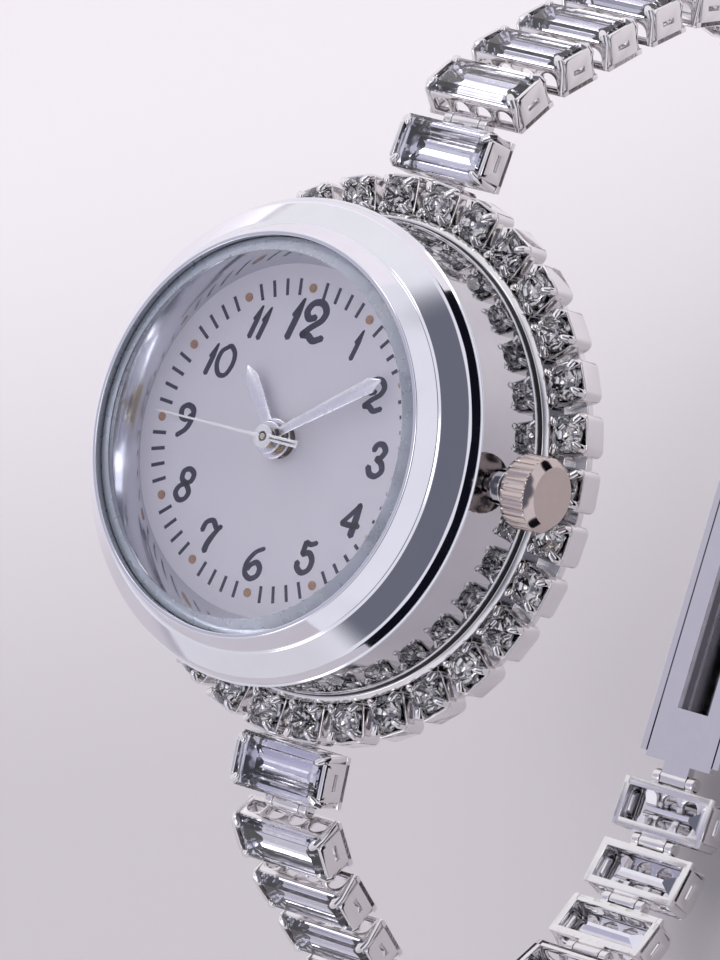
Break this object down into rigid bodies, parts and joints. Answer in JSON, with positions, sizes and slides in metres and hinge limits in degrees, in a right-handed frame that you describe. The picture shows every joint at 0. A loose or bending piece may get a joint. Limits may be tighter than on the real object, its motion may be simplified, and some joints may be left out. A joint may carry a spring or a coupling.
{
  "type": "bracelet wristwatch",
  "caption": "Small round polished dress wristwatch with a ring of claw-set round stones and a hinged bracelet of step-cut baguette stone links, closed by a fold-over clasp.",
  "frame": {"origin": "middle of the outer face of the case back", "axes": "+Z out through the dial, +Y to 12 o'clock, +X to the crown at 3 o'clock"},
  "size_m": [0.0313, 0.0609, 0.0474],
  "materials": {
    "polished_case": "polished",
    "polished_bezel": "polished",
    "watch_glass": "polished",
    "inner_ring_polish": "polished",
    "dial_white": "satin",
    "dial_print": "matte",
    "dial_dots": "satin",
    "holder_plastic": "matte",
    "brass": "satin",
    "movement_steel": "satin",
    "battery_steel": "satin",
    "coil_copper": "satin",
    "board_green": "satin",
    "back_steel": "satin",
    "black_rubber": "matte",
    "silver_plate": "polished",
    "clear_stone": "polished",
    "hand_silver": "polished",
    "crown_steel": "polished"
  },
  "bodies": {
    "head": {"case_body": "polished_case", "bezel": "polished_bezel", "crystal": "watch_glass", "inner_ring": "inner_ring_polish", "dial": "dial_white", "movement_holder": "holder_plastic", "main_plate": "brass", "train_bridge": "movement_steel", "battery": "battery_steel", "coil": "coil_copper", "stator": "movement_steel", "circuit_board": "board_green", "case_back": "back_steel", "back_gasket": "black_rubber", "stone_ring": "silver_plate", "ring_stones": "clear_stone"},
    "seconds": {"seconds_wheel": "brass", "second_hand": "hand_silver"},
    "rotor": {"rotor": "movement_steel"},
    "fifth": {"fifth_wheel": "brass"},
    "third": {"third_wheel": "brass"},
    "centre": {"centre_wheel": "brass"},
    "minutes": {"cannon_pinion": "brass", "minute_hand": "hand_silver"},
    "minute_work": {"minute_wheel": "brass"},
    "hours": {"hour_wheel": "brass", "hour_hand": "hand_silver"},
    "setting": {"setting_lever": "movement_steel"},
    "crown": {"crown": "crown_steel", "stem": "movement_steel", "crown_gasket": "black_rubber"},
    "upper_link_01": {"upper_link_01": "silver_plate"},
    "upper_link_02": {"upper_link_02": "silver_plate"},
    "upper_link_03": {"upper_link_03": "silver_plate"},
    "upper_link_04": {"upper_link_04": "silver_plate"},
    "upper_link_05": {"upper_link_05": "silver_plate"},
    "upper_link_06": {"upper_link_06": "silver_plate"},
    "upper_link_07": {"upper_link_07": "silver_plate"},
    "upper_link_08": {"upper_link_08": "silver_plate"},
    "upper_link_09": {"upper_link_09": "silver_plate"},
    "upper_link_10": {"upper_link_10": "silver_plate"},
    "upper_link_11": {"upper_link_11": "silver_plate"},
    "upper_link_12": {"upper_link_12": "silver_plate"},
    "upper_link_13": {"upper_link_13": "silver_plate"},
    "lower_link_01": {"lower_link_01": "silver_plate"},
    "lower_link_02": {"lower_link_02": "silver_plate"},
    "lower_link_03": {"lower_link_03": "silver_plate"},
    "lower_link_04": {"lower_link_04": "silver_plate"},
    "lower_link_05": {"lower_link_05": "silver_plate"},
    "lower_link_06": {"lower_link_06": "silver_plate"},
    "lower_link_07": {"lower_link_07": "silver_plate"},
    "lower_link_08": {"lower_link_08": "silver_plate"},
    "lower_link_09": {"lower_link_09": "silver_plate"},
    "lower_link_10": {"lower_link_10": "silver_plate"},
    "lower_link_11": {"lower_link_11": "silver_plate"},
    "lower_link_12": {"lower_link_12": "silver_plate"},
    "lower_link_13": {"lower_link_13": "silver_plate"},
    "clasp_base": {"clasp_base": "silver_plate"},
    "clasp_cover": {"clasp_cover": "silver_plate"},
    "end_loop": {"end_loop": "silver_plate"}
  },
  "joints": [
    {"name": "seconds_turn", "type": "hinge", "parent": "head", "child": "seconds", "pos_m": [0, 0, 0.009], "axis": [0, 0, 1], "continuous": true},
    {"name": "rotor_turn", "type": "hinge", "parent": "head", "child": "rotor", "pos_m": [0.00206, -0.00445, 0.0045], "axis": [0, 0, 1], "continuous": true},
    {"name": "fifth_turn", "type": "hinge", "parent": "head", "child": "fifth", "pos_m": [0.0012, -0.00208, 0.0045], "axis": [0, 0, 1], "continuous": true},
    {"name": "third_turn", "type": "hinge", "parent": "head", "child": "third", "pos_m": [-0.00053, 0.00301, 0.0045], "axis": [0, 0, 1], "continuous": true},
    {"name": "centre_turn", "type": "hinge", "parent": "head", "child": "centre", "pos_m": [0, 0, 0.0053], "axis": [0, 0, 1], "continuous": true},
    {"name": "minutes_turn", "type": "hinge", "parent": "head", "child": "minutes", "pos_m": [0, 0, 0.0085], "axis": [0, 0, 1], "continuous": true},
    {"name": "minute_work_turn", "type": "hinge", "parent": "head", "child": "minute_work", "pos_m": [-0.00226, -0.00082, 0.0066], "axis": [0, 0, 1], "continuous": true},
    {"name": "hours_turn", "type": "hinge", "parent": "head", "child": "hours", "pos_m": [0, 0, 0.008], "axis": [0, 0, 1], "continuous": true},
    {"name": "crown_pull", "type": "slide", "parent": "head", "child": "setting", "axis": [1, 0, 0], "range_m": [-0.0008, 0]},
    {"name": "crown_turn", "type": "hinge", "parent": "setting", "child": "crown", "pos_m": [0.014, 0, 0.005], "axis": [1, 0, 0], "continuous": true},
    {"name": "upper_hinge_01", "type": "hinge", "parent": "head", "child": "upper_link_01", "pos_m": [0.00078, 0.01493, -0.0002], "axis": [0.9986, -0.0523, 0], "range_deg": [0, 8]},
    {"name": "upper_hinge_02", "type": "hinge", "parent": "upper_link_01", "child": "upper_link_02", "pos_m": [0.00098, 0.0187, -0.00066], "axis": [0.9986, -0.0523, 0], "range_deg": [0, 44]},
    {"name": "upper_hinge_03", "type": "hinge", "parent": "upper_link_02", "child": "upper_link_03", "pos_m": [0.00112, 0.02133, -0.0034], "axis": [0.9986, -0.0523, 0], "range_deg": [0, 17]},
    {"name": "upper_hinge_04", "type": "hinge", "parent": "upper_link_03", "child": "upper_link_04", "pos_m": [0.00122, 0.02334, -0.00662], "axis": [0.9986, -0.0523, 0], "range_deg": [0, 5]},
    {"name": "upper_hinge_05", "type": "hinge", "parent": "upper_link_04", "child": "upper_link_05", "pos_m": [0.00133, 0.02535, -0.00984], "axis": [0.9986, -0.0523, 0], "range_deg": [0, 8]},
    {"name": "upper_hinge_06", "type": "hinge", "parent": "upper_link_05", "child": "upper_link_06", "pos_m": [0.00143, 0.02719, -0.01317], "axis": [0.9986, -0.0523, 0], "range_deg": [0, 18.44]},
    {"name": "upper_hinge_07", "type": "hinge", "parent": "upper_link_06", "child": "upper_link_07", "pos_m": [0.00148, 0.02821, -0.01683], "axis": [0.9986, -0.0523, 0], "range_deg": [0, 18.44]},
    {"name": "upper_hinge_08", "type": "hinge", "parent": "upper_link_07", "child": "upper_link_08", "pos_m": [0.00149, 0.02835, -0.02062], "axis": [0.9986, -0.0523, 0], "range_deg": [0, 18.44]},
    {"name": "upper_hinge_09", "type": "hinge", "parent": "upper_link_08", "child": "upper_link_09", "pos_m": [0.00145, 0.02761, -0.02435], "axis": [0.9986, -0.0523, 0], "range_deg": [0, 18.44]},
    {"name": "upper_hinge_10", "type": "hinge", "parent": "upper_link_09", "child": "upper_link_10", "pos_m": [0.00136, 0.02602, -0.0278], "axis": [0.9986, -0.0523, 0], "range_deg": [0, 18.44]},
    {"name": "upper_hinge_11", "type": "hinge", "parent": "upper_link_10", "child": "upper_link_11", "pos_m": [0.00124, 0.02367, -0.03079], "axis": [0.9986, -0.0523, 0], "range_deg": [0, 18.44]},
    {"name": "upper_hinge_12", "type": "hinge", "parent": "upper_link_11", "child": "upper_link_12", "pos_m": [0.00108, 0.02069, -0.03314], "axis": [0.9986, -0.0523, 0], "range_deg": [0, 18.44]},
    {"name": "upper_hinge_13", "type": "hinge", "parent": "upper_link_12", "child": "upper_link_13", "pos_m": [0.0009, 0.01725, -0.03474], "axis": [0.9986, -0.0523, 0], "range_deg": [0, 18.44]},
    {"name": "lower_hinge_01", "type": "hinge", "parent": "head", "child": "lower_link_01", "pos_m": [-0.00078, -0.01493, -0.0002], "axis": [-0.9986, 0.0523, 0], "range_deg": [0, 8]},
    {"name": "lower_hinge_02", "type": "hinge", "parent": "lower_link_01", "child": "lower_link_02", "pos_m": [-0.00098, -0.01871, -0.00053], "axis": [-0.9986, 0.0523, 0], "range_deg": [0, 43]},
    {"name": "lower_hinge_03", "type": "hinge", "parent": "lower_link_02", "child": "lower_link_03", "pos_m": [-0.00113, -0.02149, -0.00312], "axis": [-0.9986, 0.0523, 0], "range_deg": [0, 18]},
    {"name": "lower_hinge_04", "type": "hinge", "parent": "lower_link_03", "child": "lower_link_04", "pos_m": [-0.00124, -0.02361, -0.00627], "axis": [-0.9986, 0.0523, 0], "range_deg": [0, 5]},
    {"name": "lower_hinge_05", "type": "hinge", "parent": "lower_link_04", "child": "lower_link_05", "pos_m": [-0.00135, -0.02573, -0.00942], "axis": [-0.9986, 0.0523, 0], "range_deg": [0, 8]},
    {"name": "lower_hinge_06", "type": "hinge", "parent": "lower_link_05", "child": "lower_link_06", "pos_m": [-0.00145, -0.02768, -0.01268], "axis": [-0.9986, 0.0523, 0], "range_deg": [0, 19.35]},
    {"name": "lower_hinge_07", "type": "hinge", "parent": "lower_link_06", "child": "lower_link_07", "pos_m": [-0.00151, -0.02877, -0.01632], "axis": [-0.9986, 0.0523, 0], "range_deg": [0, 19.35]},
    {"name": "lower_hinge_08", "type": "hinge", "parent": "lower_link_07", "child": "lower_link_08", "pos_m": [-0.00152, -0.02892, -0.02012], "axis": [-0.9986, 0.0523, 0], "range_deg": [0, 19.35]},
    {"name": "lower_hinge_09", "type": "hinge", "parent": "lower_link_08", "child": "lower_link_09", "pos_m": [-0.00147, -0.02813, -0.02383], "axis": [-0.9986, 0.0523, 0], "range_deg": [0, 19.35]},
    {"name": "lower_hinge_10", "type": "hinge", "parent": "lower_link_09", "child": "lower_link_10", "pos_m": [-0.00139, -0.02645, -0.02724], "axis": [-0.9986, 0.0523, 0], "range_deg": [0, 19.35]},
    {"name": "lower_hinge_11", "type": "hinge", "parent": "lower_link_10", "child": "lower_link_11", "pos_m": [-0.00126, -0.02397, -0.03012], "axis": [-0.9986, 0.0523, 0], "range_deg": [0, 19.35]},
    {"name": "lower_hinge_12", "type": "hinge", "parent": "lower_link_11", "child": "lower_link_12", "pos_m": [-0.00109, -0.02086, -0.03229], "axis": [-0.9986, 0.0523, 0], "range_deg": [0, 19.35]},
    {"name": "lower_hinge_13", "type": "hinge", "parent": "lower_link_12", "child": "lower_link_13", "pos_m": [-0.00091, -0.0173, -0.03363], "axis": [-0.9986, 0.0523, 0], "range_deg": [0, 19.35]},
    {"name": "clasp_hinge", "type": "hinge", "parent": "lower_link_13", "child": "clasp_base", "pos_m": [-0.00071, -0.01353, -0.03404], "axis": [-0.9986, 0.0523, 0], "range_deg": [0, 8.14]},
    {"name": "cover_hinge", "type": "hinge", "parent": "clasp_base", "child": "clasp_cover", "pos_m": [0.00041, 0.00788, -0.03569], "axis": [0.9986, -0.0523, 0], "range_deg": [0, 150]},
    {"name": "loop_hinge", "type": "hinge", "parent": "upper_link_13", "child": "end_loop", "pos_m": [0.00071, 0.01353, -0.0355], "axis": [0.9986, -0.0523, 0], "range_deg": [0, 19.54]}
  ],
  "couplings": [
    {"joint": "seconds_turn", "follows": "centre_turn", "ratio": 60},
    {"joint": "rotor_turn", "follows": "centre_turn", "ratio": 1800},
    {"joint": "fifth_turn", "follows": "centre_turn", "ratio": -300},
    {"joint": "third_turn", "follows": "centre_turn", "ratio": -8},
    {"joint": "minutes_turn", "follows": "centre_turn", "ratio": 1},
    {"joint": "minute_work_turn", "follows": "centre_turn", "ratio": -0.33333},
    {"joint": "hours_turn", "follows": "centre_turn", "ratio": 0.083333}
  ]
}
